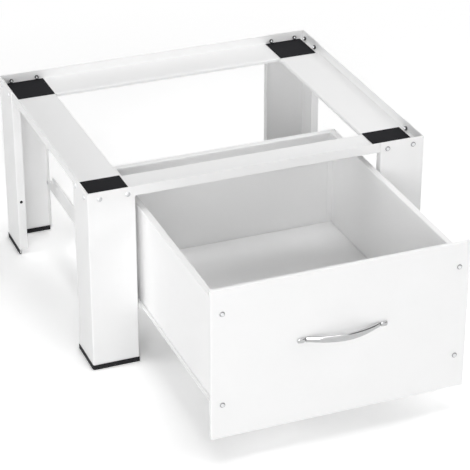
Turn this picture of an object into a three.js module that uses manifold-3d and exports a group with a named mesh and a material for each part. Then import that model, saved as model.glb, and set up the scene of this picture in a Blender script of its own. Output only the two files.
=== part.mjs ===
// A sheet-steel stand for a washing machine, with one wide drawer on roller runners.
//
// Millimetres, +Z up, seen from the front along +Y with +X to the right. The pieces are laid out from
// the stand's own middle, with the floor at z = 0. The last group moves them so that the origin lies on
// the floor under the middle of the whole object, its drawer standing open.

import * as THREE from 'three';
import { mergeVertices } from 'three/addons/utils/BufferGeometryUtils.js';
import Module from 'manifold-3d';

// Stand, over the legs
const standWidth = 630;
const standDepth = 540;
const standHeight = 345;
const plate = 1.5; // sheet that the stand is folded from
const plateBend = 1; // inside radius of its folds
const fit = 0.3; // free gap between pieces that fit together

// Legs
const legFrontWidth = 85.5;
const legSideWidth = 81;
const legReturn = 16; // return flange on each free edge, over the wall
const returnHoleRadius = 2.4;

// Foot caps
const capHeight = 9.5;
const capFloor = 2;
const capWall = 0.8;
const capSlack = 0.2; // on each side of the leg's wall

// Rails round the top
const lipHeight = 19; // from the shelf's underside to the top
const shelfOverhang = 0.8; // past the legs' free edges
const shelfDownFold = 6.5;
const mitreGap = 0.4;

// Pads that the machine's feet stand on
const padWidth = 75;
const padDepth = 78;
const padThickness = 1.2;
const padInsetFromSide = 9.5;
const padInsetFromFront = 4.5;

// Bolts that hold the legs to the rails
const boltDrop = 12.5; // below the top edge
const frontBoltInset = 22;
const frontBoltPitch = 50;
const sideBoltInset = 17;
const sideBoltPitch = 48;
const boltRadius = 2;
const boltHoleRadius = 2.3;
const boltHeadRadius = 4.5;
const boltHeadHeight = 2.2;
const headRim = 0.25; // upright part of a head, as a share of its height
const nutAcrossFlats = 7;
const nutHeight = 3.2;
const boltTip = 2.5; // thread showing past the nut
const boltSeat = 0.1; // free gap under a head or nut

// Runners: a fixed rail on a bar, a drawer rail, and a roller on each
const runnerSheet = 1.2;
const runnerBend = 0.6;
const rollerRadius = 8.8;
const rollerWidth = 6;
const rollerShoulder = 0.6; // bevel on its rims
const rollerHeight = 105; // roller centres above the floor
const rollerPlay = 0.45; // above and below a roller
const rollerCollar = 1; // between a rail's web and its roller
const pinRadius = 2.8;
const pinPlay = 0.15;
const pinHeadRadius = 4.6;
const pinHeadHeight = 0.6;
const pinHeadPlay = 0.2;
const runnerSpace = 11; // from the bar to the drawer's side
const runnerLength = 506;
const runningFlange = 4.8; // outward flange that runs on the front roller
const flangeGap = 0.8; // between the edges of the two rails
const drawerRailHeight = 11.7;
const drawerRailFoot = 14; // under the drawer's side
const frontPinInset = 10; // from the fixed rail's front end
const rearPinInset = 12; // from the drawer rail's rear end
const lugLength = 24;
const lugDrop = 7; // below the roller's centre

// Bars that carry the fixed rails
const barRise = 4; // above the rails' underside
const barHeight = 34.5;
const spareHoleRise = 14; // above the bars' underside
const barFlange = 4;
const barTabHeight = 18; // of the tab at each end, level with the bar's underside
const barTabLength = 38;
const barScrewInset = 9; // from the stand's front and rear faces
const screwHeadHeight = 1.8;
const screwHeadRadius = 4;

// Drawer box
const drawerSheet = 1.2;
const drawerBend = 0.6;
const drawerLength = 518.7; // from the panel's rear to the drawer's rear
const drawerTopGap = 22; // to the rail's down fold above
const hemWidth = 12;
const hemLip = 5;
const drawerFootFlange = 12;
const drawerFrontFlange = 24;
const drawerRearFlange = 12;

// Drawer front
const panelFloorGap = 46.8;
const panelDepth = 8;
const panelSideGap = 1.7; // to each leg
const panelTopGap = 2.7; // to the rail above
const panelSideReturn = 30;
const panelEndReturn = 12;
const drawerOpen = 347.7; // how far the drawer stands open

// Screws through the panel into the drawer's front flanges
const panelScrewInset = 19.6; // from the panel's sides
const panelScrewTopInset = 20; // below the drawer sides' top
const panelScrewBottomInset = 5.5; // above the drawer sides' underside
const panelScrewHeadRadius = 4.5;
const panelScrewTip = 5; // past the flange

// Handle
const handleLength = 160;
const handleHeight = 13; // at the middle
const handleEndHeight = 9;
const handleStandOff = 22; // front surface from the panel
const handleGap = 17; // finger gap at the middle
const handleGapReach = 57; // half length of the finger gap
const handleFootThickness = 4;
const handleDrop = 120.8; // its middle below the panel's top
const handleScrewPitch = 128;
const handleScrewDepth = 3; // into the handle's foot
const handleScrewRadius = 1.8;

// Facets
const bendSteps = 3;
const roundSides = 20;
const boltSides = 12;
const domeSteps = 3;
const bowSteps = 28;

// Faces that several pieces share
const halfWidth = standWidth / 2;
const halfDepth = standDepth / 2;
const shelfUnderside = standHeight - lipHeight;
const shelfTop = shelfUnderside + plate;
const legInnerX = halfWidth - legFrontWidth;
const legInnerY = halfDepth - legSideWidth;
const boltHeight = standHeight - boltDrop;
const frontBolts = [0, 1].map((i) => halfWidth - frontBoltInset - i * frontBoltPitch);
const sideBolts = [0, 1].map((i) => halfDepth - sideBoltInset - i * sideBoltPitch);
const barFaceX = legInnerX + plate;
const fixedWebX = barFaceX - runnerSheet;
const drawerX = barFaceX - runnerSpace;
const drawerRailX = drawerX + runnerSheet;
const flangeUnderside = rollerHeight + rollerRadius + rollerPlay;
const flangeTop = flangeUnderside + runnerSheet;
const runnerFloor = rollerHeight - rollerRadius - rollerPlay;
const runnerUnderside = runnerFloor - runnerSheet;
const barUnderside = runnerUnderside + barRise;
const barScrewHeight = barUnderside + barTabHeight / 2;
const spareHoleHeight = barUnderside + spareHoleRise;
const drawerRailUnderside = flangeTop - drawerRailHeight;
const drawerUnderside = drawerRailUnderside + runnerSheet;
const drawerTop = shelfTop - shelfDownFold - drawerTopGap;
const floorTop = drawerUnderside + 2 * drawerSheet;
const panelHalfWidth = legInnerX - panelSideGap;
const panelTop = shelfUnderside - panelTopGap;
const panelFront = -halfDepth - drawerOpen;
const panelRear = panelFront + panelDepth;
const panelScrewX = panelHalfWidth - panelScrewInset;
const panelScrewHeights = [drawerTop - panelScrewTopInset, drawerUnderside + panelScrewBottomInset];
const handleRise = panelTop - handleDrop;
const handleScrewX = handleScrewPitch / 2;
const drawerRear = panelRear + drawerLength;
const runnerEnd = runnerLength / 2;
const pinInside = drawerRailX + rollerCollar;

const paint = { color: 0xf4f5f6, roughness: 0.42, metalness: 0 };
const rubber = { color: 0x1d1d20, roughness: 0.8, metalness: 0 };
const zinc = { color: 0xb4b6b8, roughness: 0.38, metalness: 1 };
const chrome = { color: 0xd8dadc, roughness: 0.12, metalness: 1 };
const nylon = { color: 0xe9e7df, roughness: 0.5, metalness: 0 };

const wasm = await Module();
wasm.setup();

// ---------------------------------------------------------------- shaping

// A geometry as a solid that can be joined and cut. Its facets share their corners, and facets with no
// area, as at the poles of a turned shape, are left out.
function asSolid(geometry) {
  const bare = geometry.clone();
  bare.deleteAttribute('normal');
  bare.deleteAttribute('uv');
  const merged = mergeVertices(bare, 1e-4);
  const corners = merged.index.array;
  const kept = [];
  for (let i = 0; i < corners.length; i += 3) {
    const [a, b, c] = corners.slice(i, i + 3);
    if (a !== b && b !== c && c !== a) kept.push(a, b, c);
  }
  const vertProperties = merged.attributes.position.array;
  return new wasm.Manifold(new wasm.Mesh({ numProp: 3, vertProperties, triVerts: Uint32Array.from(kept) }));
}

function asGeometry(solid) {
  const mesh = solid.getMesh();
  const geometry = new THREE.BufferGeometry();
  geometry.setAttribute('position', new THREE.BufferAttribute(mesh.vertProperties, 3));
  geometry.setIndex(new THREE.BufferAttribute(mesh.triVerts, 1));
  geometry.computeVertexNormals();
  return geometry;
}

function joined(first, ...others) {
  return asGeometry(others.reduce((whole, other) => whole.add(asSolid(other)), asSolid(first)));
}

function cut(first, ...others) {
  return asGeometry(others.reduce((whole, other) => whole.subtract(asSolid(other)), asSolid(first)));
}

function common(first, second) {
  return asGeometry(asSolid(first).intersect(asSolid(second)));
}

const alongX = new THREE.Vector3(1, 0, 0);
const alongY = new THREE.Vector3(0, 1, 0);
const alongZ = new THREE.Vector3(0, 0, 1);
const planes = {
  x: new THREE.Matrix4().makeBasis(alongY, alongZ, alongX), // outline in y and z
  y: new THREE.Matrix4().makeBasis(alongX, alongZ, alongY.clone().negate()), // outline in x and z
  z: new THREE.Matrix4(), // outline in x and y
};

// An outline drawn out along an axis, from one place on it to another.
function drawn(outline, axis, from, to) {
  const low = Math.min(from, to);
  const high = Math.max(from, to);
  const settings = { depth: high - low, bevelEnabled: false };
  const geometry = new THREE.ExtrudeGeometry(new THREE.Shape(outline), settings);
  geometry.applyMatrix4(planes[axis]);
  if (axis === 'x') return geometry.translate(low, 0, 0);
  if (axis === 'y') return geometry.translate(0, high, 0);
  return geometry.translate(0, 0, low);
}

function block([x0, x1], [y0, y1], [z0, z1]) {
  const box = new THREE.BoxGeometry(Math.abs(x1 - x0), Math.abs(y1 - y0), Math.abs(z1 - z0));
  return box.translate((x0 + x1) / 2, (y0 + y1) / 2, (z0 + z1) / 2);
}

function circle(u, v, radius, sides) {
  const turn = (2 * Math.PI) / sides;
  const at = (i) => new THREE.Vector2(u + radius * Math.cos(turn * i), v + radius * Math.sin(turn * i));
  return Array.from({ length: sides }, (_, i) => at(i));
}

// What a drill along an axis takes out.
function bore(axis, u, v, radius, from, to) {
  return drawn(circle(u, v, radius, boltSides), axis, from, to);
}

// A leg bolt's hole through a wall, square to the axis, whose outer face is so far from the stand's middle.
function boltHole(axis, along, face, sign) {
  return bore(axis, along, boltHeight, boltHoleRadius, sign * (face - 2 * plate), sign * (face + plate));
}

// The outline of a folded sheet, from the middle line of its section. Each corner of that line is a fold.
function folded(middle, sheet, bend) {
  const radius = bend + sheet / 2;
  const left = [];
  const right = [];
  const lay = (point, heading) => {
    const aside = new THREE.Vector2(-heading.y, heading.x).multiplyScalar(sheet / 2);
    left.push(point.clone().add(aside));
    right.unshift(point.clone().sub(aside));
  };
  const line = middle.map(([u, v]) => new THREE.Vector2(u, v));
  const heading = (i) => line[i + 1].clone().sub(line[i]).normalize();
  lay(line[0], heading(0));
  for (let i = 1; i < line.length - 1; i++) {
    const arriving = heading(i - 1);
    const leaving = heading(i);
    const turn = Math.atan2(arriving.cross(leaving), arriving.dot(leaving));
    const start = line[i].clone().addScaledVector(arriving, -radius * Math.tan(Math.abs(turn) / 2));
    const inward = new THREE.Vector2(-arriving.y, arriving.x).multiplyScalar(radius * Math.sign(turn));
    const hub = start.clone().add(inward);
    for (let step = 0; step <= bendSteps; step++) {
      const angle = (turn * step) / bendSteps;
      const along = arriving.clone().rotateAround(new THREE.Vector2(), angle);
      lay(start.clone().rotateAround(hub, angle), along);
    }
  }
  lay(line.at(-1), heading(line.length - 2));
  return [...left, ...right];
}

const mirrored = (outline, signU, signV = 1) =>
  outline.map((point) => new THREE.Vector2(point.x * signU, point.y * signV));

function piece(name, geometry, finish) {
  const mesh = new THREE.Mesh(geometry, new THREE.MeshStandardMaterial(finish));
  mesh.name = name;
  return mesh;
}

const sides = [['left', -1], ['right', 1]];
const ends = [['front', -1], ['rear', 1]];
const corners = ends.flatMap(([end, signY]) =>
  sides.map(([side, signX]) => [`${end}_${side}`, signX, signY]));

// A screw or bolt that points along -Y: its domed head stands on y = 0 and its shank ends at -length.
function fastener(headRadius, headHeight, radius, length) {
  const rim = headHeight * headRim;
  const profile = [[0, -length], [radius, -length], [radius, 0], [headRadius, 0]];
  for (let i = 0; i < domeSteps; i++) {
    const angle = (Math.PI / 2) * (i / domeSteps);
    profile.push([headRadius * Math.cos(angle), rim + (headHeight - rim) * Math.sin(angle)]);
  }
  profile.push([0, headHeight]);
  return new THREE.LatheGeometry(profile.map(([r, y]) => new THREE.Vector2(r, y)), boltSides);
}

// ---------------------------------------------------------------- stand

// The two walls run the full height. Between the foot cap and the rail each free edge is folded in.
function leg(signX, signY) {
  const middleX = halfWidth - plate / 2;
  const middleY = halfDepth - plate / 2;
  const run = [[legInnerX, middleY], [middleX, middleY], [middleX, legInnerY]];
  const walls = folded(run, plate, plateBend);
  const withReturns = folded([
    [legInnerX + plate / 2, halfDepth - legReturn],
    [legInnerX + plate / 2, middleY],
    [middleX, middleY],
    [middleX, legInnerY + plate / 2],
    [halfWidth - legReturn, legInnerY + plate / 2],
  ], plate, plateBend);
  const body = joined(
    drawn(mirrored(walls, signX, signY), 'z', capFloor, standHeight),
    drawn(mirrored(withReturns, signX, signY), 'z', capHeight + fit, shelfUnderside - fit),
  );
  const frontHoles = frontBolts.map((x) => boltHole('y', signX * x, halfDepth, signY));
  const sideHoles = sideBolts.map((y) => boltHole('x', signY * y, halfWidth, signX));
  const barHole = bore(
    'x', signY * (halfDepth - barScrewInset), barScrewHeight, returnHoleRadius,
    signX * (legInnerX - plate), signX * (legInnerX + 2 * plate));
  const spareHole = bore(
    'y', signX * (halfWidth - legReturn / 2), spareHoleHeight, returnHoleRadius,
    signY * (legInnerY - plate), signY * (legInnerY + 2 * plate));
  return cut(body, ...frontHoles, ...sideHoles, barHole, spareHole);
}

// An L-shaped channel that the lower edges of the leg's two walls stand in.
function footCap(signX, signY) {
  const groove = plate + 2 * capSlack;
  const middleX = halfWidth - plate / 2;
  const middleY = halfDepth - plate / 2;
  const run = [[legInnerX, middleY], [middleX, middleY], [middleX, legInnerY]];
  const outer = folded(run, groove + 2 * capWall, plateBend - capSlack - capWall);
  const pastEnds = [[legInnerX - plate, middleY], run[1], [middleX, legInnerY - plate]];
  const inner = folded(pastEnds, groove, plateBend - capSlack);
  return cut(
    drawn(mirrored(outer, signX, signY), 'z', 0, capHeight),
    drawn(mirrored(inner, signX, signY), 'z', capFloor, capHeight + capFloor),
  );
}

// Rails: a lip, a shelf and a small down fold, laid out square to the rail as distance from the stand's
// middle. The shelves of two rails meet in a mitre at each corner.
const lipOuterX = halfWidth - plate;
const lipOuterY = halfDepth - plate;
const shelfInnerX = legInnerX - shelfOverhang;
const shelfInnerY = legInnerY - shelfOverhang;
const railEndClearance = plateBend + fit;

function railSection(lipOuter, shelfInner) {
  return folded([
    [lipOuter - plate / 2, standHeight],
    [lipOuter - plate / 2, shelfUnderside + plate / 2],
    [shelfInner + plate / 2, shelfUnderside + plate / 2],
    [shelfInner + plate / 2, shelfTop - shelfDownFold],
  ], plate, plateBend);
}

const diagonal = new THREE.Vector2(lipOuterX - shelfInnerX, lipOuterY - shelfInnerY);

// Where a rail is cut: the corner's diagonal, moved half the gap towards the rail, from just inside to
// just outside the shelf.
function mitre(shiftX, shiftY) {
  const slack = plate / diagonal.length();
  const start = new THREE.Vector2(shelfInnerX - shiftX, shelfInnerY - shiftY);
  const at = (share) => start.clone().addScaledVector(diagonal, share);
  return [at(-slack), at(1 + slack)];
}

function crossRail(signY) {
  const [inner, outer] = mitre(((mitreGap / 2) * diagonal.length()) / diagonal.y, 0);
  const plan = [inner, outer, ...mirrored([outer, inner], -1)];
  const length = lipOuterX - railEndClearance;
  const section = mirrored(railSection(lipOuterY, shelfInnerY), signY);
  const rail = common(
    drawn(section, 'x', -length, length),
    drawn(mirrored(plan, 1, signY), 'z', 0, 2 * standHeight),
  );
  const holes = sides.flatMap(([, signX]) =>
    frontBolts.map((x) => boltHole('y', signX * x, lipOuterY, signY)));
  return cut(rail, ...holes);
}

function sideRail(signX) {
  const [inner, outer] = mitre(0, ((mitreGap / 2) * diagonal.length()) / diagonal.x);
  const plan = [inner, outer, ...mirrored([outer, inner], 1, -1)];
  const length = lipOuterY - railEndClearance;
  const section = mirrored(railSection(lipOuterX, shelfInnerX), signX);
  const rail = common(
    drawn(section, 'y', -length, length),
    drawn(mirrored(plan, signX), 'z', 0, 2 * standHeight),
  );
  const holes = ends.flatMap(([, signY]) =>
    sideBolts.map((y) => boltHole('x', signY * y, lipOuterX, signX)));
  return cut(rail, ...holes);
}

function pad(signX, signY) {
  const outerX = halfWidth - padInsetFromSide;
  const outerY = halfDepth - padInsetFromFront;
  return block(
    [signX * (outerX - padWidth), signX * outerX],
    [signY * (outerY - padDepth), signY * outerY],
    [shelfTop, shelfTop + padThickness],
  );
}

// The bolt points along -Y from the leg's outer face, through leg and lip, into a nut with level flats.
function legBolt() {
  const nutFace = 2 * plate + 2 * boltSeat;
  const shank = fastener(boltHeadRadius, boltHeadHeight, boltRadius, nutFace + nutHeight + boltTip);
  const hexagon = circle(0, 0, nutAcrossFlats / Math.sqrt(3), 6);
  return joined(shank, drawn(hexagon, 'y', -nutFace - nutHeight, -nutFace));
}

// ---------------------------------------------------------------- runners

// The bar's top is folded towards the drawer. A lower tab at each end stands inside a leg's return.
function runnerBar(signX) {
  const web = barFaceX + plate / 2;
  const top = barUnderside + barHeight - plate / 2;
  const end = halfDepth - plate - plateBend - fit;
  const tabs = block(
    [signX * barFaceX, signX * (barFaceX + plate)],
    [-end, end],
    [barUnderside, barUnderside + barTabHeight],
  );
  const section = folded([
    [web, barUnderside],
    [web, top],
    [barFaceX + plate - barFlange, top],
  ], plate, plateBend);
  const bar = joined(tabs, drawn(mirrored(section, signX), 'y', barTabLength - end, end - barTabLength));
  const holes = ends.map(([, signY]) => bore(
    'x', signY * (halfDepth - barScrewInset), barScrewHeight, boltHoleRadius,
    signX * (barFaceX - plate), signX * (barFaceX + 2 * plate)));
  return cut(bar, ...holes);
}

// A pin with a flat rivet head, standing out of a rail's web from x = base and holding a roller whose far
// face is at x = face.
function rollerPin(signX, y, base, face) {
  const away = Math.sign(face - base);
  const head = face + away * pinHeadPlay;
  const tip = head + away * pinHeadHeight;
  return joined(
    drawn(circle(y, rollerHeight, pinRadius, roundSides), 'x', signX * base, signX * head),
    drawn(circle(y, rollerHeight, pinHeadRadius, roundSides), 'x', signX * head, signX * tip),
  );
}

const frontPinY = -runnerEnd + frontPinInset;
const rearPinY = drawerRear - rearPinInset;
const frontRollerOuter = fixedWebX - rollerCollar;

// A C section open towards the drawer: the rear roller runs in it. Its front pin carries the front roller.
function fixedRail(signX) {
  const web = fixedWebX + runnerSheet / 2;
  const section = folded([
    [drawerRailX + runningFlange + flangeGap, flangeUnderside + runnerSheet / 2],
    [web, flangeUnderside + runnerSheet / 2],
    [web, runnerFloor - runnerSheet / 2],
    [drawerRailX + flangeGap, runnerFloor - runnerSheet / 2],
  ], runnerSheet, runnerBend);
  return joined(
    drawn(mirrored(section, signX), 'y', -runnerEnd, runnerEnd),
    rollerPin(signX, frontPinY, fixedWebX + runnerSheet / 2, frontRollerOuter - rollerWidth),
  );
}

// A Z section: a foot under the drawer's side, a web on the side, and a flange that runs on the front
// roller. A lug at its rear end carries the rear roller.
function drawerRail(signX) {
  const web = drawerX + runnerSheet / 2;
  const section = folded([
    [drawerRailX + runningFlange, flangeUnderside + runnerSheet / 2],
    [web, flangeUnderside + runnerSheet / 2],
    [web, drawerRailUnderside + runnerSheet / 2],
    [drawerRailX - drawerRailFoot, drawerRailUnderside + runnerSheet / 2],
  ], runnerSheet, runnerBend);
  const lug = block(
    [signX * drawerX, signX * drawerRailX],
    [drawerRear - lugLength, drawerRear],
    [rollerHeight - lugDrop, flangeUnderside - runnerBend],
  );
  return joined(
    drawn(mirrored(section, signX), 'y', panelRear + fit, drawerRear),
    lug,
    rollerPin(signX, rearPinY, drawerX + runnerSheet / 2, pinInside + rollerWidth),
  );
}

// A roller about its own middle, its axle along X.
function roller() {
  const inner = pinRadius + pinPlay;
  const half = rollerWidth / 2;
  const profile = [
    [inner, -half],
    [rollerRadius - rollerShoulder, -half],
    [rollerRadius, -half + rollerShoulder],
    [rollerRadius, half - rollerShoulder],
    [rollerRadius - rollerShoulder, half],
    [inner, half],
    [inner, -half],
  ];
  const wheel = new THREE.LatheGeometry(profile.map(([r, y]) => new THREE.Vector2(r, y)), roundSides);
  return asGeometry(asSolid(wheel.rotateZ(-Math.PI / 2)));
}

// ---------------------------------------------------------------- drawer

// One folded sheet: foot flange, wall and hem, with a flange at the front for the panel and one at the rear
// for the back, whose own sheet lies behind it. The hem stops short of the back's hem.
function drawerSide(signX) {
  const web = drawerX - drawerSheet / 2;
  const foot = [
    [drawerX - drawerFootFlange, drawerUnderside + drawerSheet / 2],
    [web, drawerUnderside + drawerSheet / 2],
  ];
  const hemmed = folded([
    ...foot,
    [web, drawerTop - drawerSheet / 2],
    [drawerX - hemWidth + drawerSheet / 2, drawerTop - drawerSheet / 2],
    [drawerX - hemWidth + drawerSheet / 2, drawerTop - hemLip],
  ], drawerSheet, drawerBend);
  const plain = folded([...foot, [web, drawerTop]], drawerSheet, drawerBend);
  const rearFlange = drawerRear - drawerSheet;
  const hemEnd = rearFlange - hemWidth - fit;
  const wall = [drawerUnderside + drawerBend + drawerSheet, drawerTop - drawerBend - drawerSheet];
  const front = folded([
    [drawerX - drawerFrontFlange, panelRear + drawerSheet / 2],
    [web, panelRear + drawerSheet / 2],
    [web, panelRear + drawerFrontFlange],
  ], drawerSheet, drawerBend);
  const rear = folded([
    [drawerX - drawerRearFlange, rearFlange - drawerSheet / 2],
    [web, rearFlange - drawerSheet / 2],
    [web, rearFlange - drawerRearFlange],
  ], drawerSheet, drawerBend);
  const inset = drawerSheet + drawerBend;
  const side = joined(
    drawn(mirrored(hemmed, signX), 'y', panelRear + inset, hemEnd),
    drawn(mirrored(plain, signX), 'y', hemEnd - drawerSheet, rearFlange - inset),
    drawn(mirrored(front, signX), 'z', wall[0], wall[1]),
    drawn(mirrored(rear, signX), 'z', wall[0], wall[1] - fit),
  );
  const holes = panelScrewHeights.map((z) => bore(
    'y', signX * panelScrewX, z, boltHoleRadius, panelRear - drawerSheet, panelRear + 2 * drawerSheet));
  return cut(side, ...holes);
}

const sheetHalfWidth = drawerX - drawerSheet - drawerBend - fit;

// The back lies behind the sides' rear flanges, as wide as the drawer. Its hem runs forward between them.
function drawerBack() {
  const wall = drawerRear - drawerSheet / 2;
  const lip = drawerRear - hemWidth - drawerSheet / 2;
  const underside = drawerUnderside + runnerBend + fit;
  const section = folded([
    [wall, underside],
    [wall, drawerTop - drawerSheet / 2],
    [lip, drawerTop - drawerSheet / 2],
    [lip, drawerTop - hemLip],
  ], drawerSheet, drawerBend);
  const sheet = block(
    [-drawerX, drawerX],
    [drawerRear - drawerSheet, drawerRear],
    [underside, drawerTop - drawerBend - drawerSheet],
  );
  return joined(drawn(section, 'x', -sheetHalfWidth, sheetHalfWidth), sheet);
}

// The bottom lies on the sides' foot flanges.
function drawerBottom() {
  return block(
    [-sheetHalfWidth, sheetHalfWidth],
    [panelRear + drawerSheet + fit, drawerRear - 2 * drawerSheet - fit],
    [floorTop - drawerSheet, floorTop],
  );
}

// A shallow tray, open to the rear, its returns folded in all round.
function drawerFront() {
  const shell = block(
    [-panelHalfWidth, panelHalfWidth],
    [panelFront, panelRear],
    [panelFloorGap, panelTop],
  );
  const hollow = block(
    [-panelHalfWidth + drawerSheet, panelHalfWidth - drawerSheet],
    [panelFront + drawerSheet, panelRear - drawerSheet],
    [panelFloorGap + drawerSheet, panelTop - drawerSheet],
  );
  const window = block(
    [-panelHalfWidth + panelSideReturn, panelHalfWidth - panelSideReturn],
    [panelRear - 2 * drawerSheet, panelRear + drawerSheet],
    [panelFloorGap + panelEndReturn, panelTop - panelEndReturn],
  );
  const through = (x, z) => bore('y', x, z, boltHoleRadius, panelFront - panelDepth, panelRear + panelDepth);
  const screwHoles = sides.flatMap(([, signX]) =>
    panelScrewHeights.map((z) => through(signX * panelScrewX, z)));
  const handleHoles = sides.map(([, signX]) => through(signX * handleScrewX, handleRise));
  return cut(shell, hollow, window, ...screwHoles, ...handleHoles);
}

// A bow seen from above, tapered towards its feet seen from the front. Each foot has a blind hole.
function handle() {
  const half = handleLength / 2;
  const curve = (reach, height) => Array.from({ length: bowSteps + 1 }, (_, i) => {
    const x = -reach + (2 * reach * i) / bowSteps;
    return new THREE.Vector2(x, height(x));
  });
  const bowReach = handleScrewX + handleFootThickness;
  const drop = (handleStandOff - handleFootThickness) / bowReach ** 2;
  const front = curve(bowReach, (x) => handleStandOff - drop * x * x);
  const gap = curve(handleGapReach, (x) => handleGap * (1 - (x / handleGapReach) ** 2));
  const tip = handleFootThickness / 2;
  const bow = [
    new THREE.Vector2(-half, 0), new THREE.Vector2(-half, tip), ...front,
    new THREE.Vector2(half, tip), new THREE.Vector2(half, 0), ...gap.reverse(),
  ];
  const plan = bow.map((point) => new THREE.Vector2(point.x, panelFront - boltSeat - point.y));
  const swell = (x) => (handleHeight - handleEndHeight) * Math.cos((Math.PI * x) / (2 * half)) ** 2;
  const edge = curve(half, (x) => (handleEndHeight + swell(x)) / 2);
  const rise = new THREE.Vector2(0, handleRise);
  const elevation = [...edge, ...mirrored(edge, -1, -1)].map((point) => point.add(rise));
  const body = common(
    drawn(plan, 'z', handleRise - handleHeight, handleRise + handleHeight),
    drawn(elevation, 'y', panelFront - 2 * handleStandOff, panelFront + handleStandOff),
  );
  const blindEnd = panelFront - boltSeat - handleScrewDepth - fit;
  const radius = handleScrewRadius + pinPlay;
  const holes = sides.map(([, signX]) =>
    bore('y', signX * handleScrewX, handleRise, radius, blindEnd, panelFront + handleStandOff));
  return cut(body, ...holes);
}

// ---------------------------------------------------------------- assembly

const stand = new THREE.Group();
const drawer = new THREE.Group();

for (const [corner, signX, signY] of corners) {
  stand.add(piece(`leg_${corner}`, leg(signX, signY), paint));
  stand.add(piece(`foot_cap_${corner}`, footCap(signX, signY), rubber));
  stand.add(piece(`pad_${corner}`, pad(signX, signY), rubber));
}
for (const [end, signY] of ends) stand.add(piece(`rail_${end}`, crossRail(signY), paint));
for (const [side, signX] of sides) stand.add(piece(`rail_${side}`, sideRail(signX), paint));

// Leg bolts: outer and inner on each front or rear wall, outer and inner on each side wall.
for (const [corner, signX, signY] of corners) {
  frontBolts.forEach((x, i) => {
    const bolt = piece(`leg_bolt_${corner}_${i + 1}`, legBolt(), zinc);
    bolt.position.set(signX * x, signY * (halfDepth + boltSeat), boltHeight);
    bolt.rotation.z = signY > 0 ? 0 : Math.PI;
    stand.add(bolt);
  });
  sideBolts.forEach((y, i) => {
    const bolt = piece(`leg_bolt_${corner}_${frontBolts.length + i + 1}`, legBolt(), zinc);
    bolt.position.set(signX * (halfWidth + boltSeat), signY * y, boltHeight);
    bolt.rotation.z = (-signX * Math.PI) / 2;
    stand.add(bolt);
  });
}

// Bar screws: the head on the bar, the tip level with the return's face towards the drawer.
const barScrewLength = 2 * plate + boltSeat - fit;
for (const [corner, signX, signY] of corners) {
  const shape = fastener(screwHeadRadius, screwHeadHeight, boltRadius, barScrewLength);
  const screw = piece(`bar_screw_${corner}`, shape, zinc);
  const seat = barFaceX + plate + boltSeat;
  screw.position.set(signX * seat, signY * (halfDepth - barScrewInset), barScrewHeight);
  screw.rotation.z = (-signX * Math.PI) / 2;
  stand.add(screw);
}

for (const [side, signX] of sides) {
  stand.add(piece(`runner_bar_${side}`, runnerBar(signX), paint));
  stand.add(piece(`fixed_rail_${side}`, fixedRail(signX), paint));
  const frontRoller = piece(`front_roller_${side}`, roller(), nylon);
  frontRoller.position.set(signX * (frontRollerOuter - rollerWidth / 2), frontPinY, rollerHeight);
  stand.add(frontRoller);

  drawer.add(piece(`drawer_rail_${side}`, drawerRail(signX), paint));
  drawer.add(piece(`drawer_side_${side}`, drawerSide(signX), paint));
  const rearRoller = piece(`rear_roller_${side}`, roller(), nylon);
  rearRoller.position.set(signX * (pinInside + rollerWidth / 2), rearPinY, rollerHeight);
  drawer.add(rearRoller);
}

drawer.add(piece('drawer_back', drawerBack(), paint));
drawer.add(piece('drawer_bottom', drawerBottom(), paint));
drawer.add(piece('drawer_front', drawerFront(), paint));
drawer.add(piece('handle', handle(), chrome));

// Panel screws, heads on the panel's face, and handle screws, heads on the rear of its front sheet.
const panelScrewLength = panelDepth + drawerSheet + panelScrewTip;
const handleScrewLength = drawerSheet + 2 * boltSeat + handleScrewDepth;
for (const [side, signX] of sides) {
  ['top', 'bottom'].forEach((row, i) => {
    const shape = fastener(panelScrewHeadRadius, boltHeadHeight, boltRadius, panelScrewLength);
    const screw = piece(`front_screw_${row}_${side}`, shape, zinc);
    screw.position.set(signX * panelScrewX, panelFront - boltSeat, panelScrewHeights[i]);
    screw.rotation.z = Math.PI;
    drawer.add(screw);
  });
  const shape = fastener(screwHeadRadius, screwHeadHeight, handleScrewRadius, handleScrewLength);
  const screw = piece(`handle_screw_${side}`, shape, zinc);
  screw.position.set(signX * handleScrewX, panelFront + drawerSheet + boltSeat, handleRise);
  drawer.add(screw);
}

// From the handle's front to the rear bolts' heads, the object's middle is brought over the origin.
const objectFront = panelFront - boltSeat - handleStandOff;
const objectRear = halfDepth + boltSeat + boltHeadHeight;
const pedestal = new THREE.Group();
pedestal.add(stand, drawer);
pedestal.position.y = -(objectFront + objectRear) / 2;

export default pedestal;
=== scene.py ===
# A washing machine's stand with its drawer open, dressed for the camera. Metres, +Z up, -Y the way the drawer
# opens. Each section makes one piece of the stand, in the order in which the stand goes together.
import math

import bmesh
import bpy
from mathutils import Matrix, Vector


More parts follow.
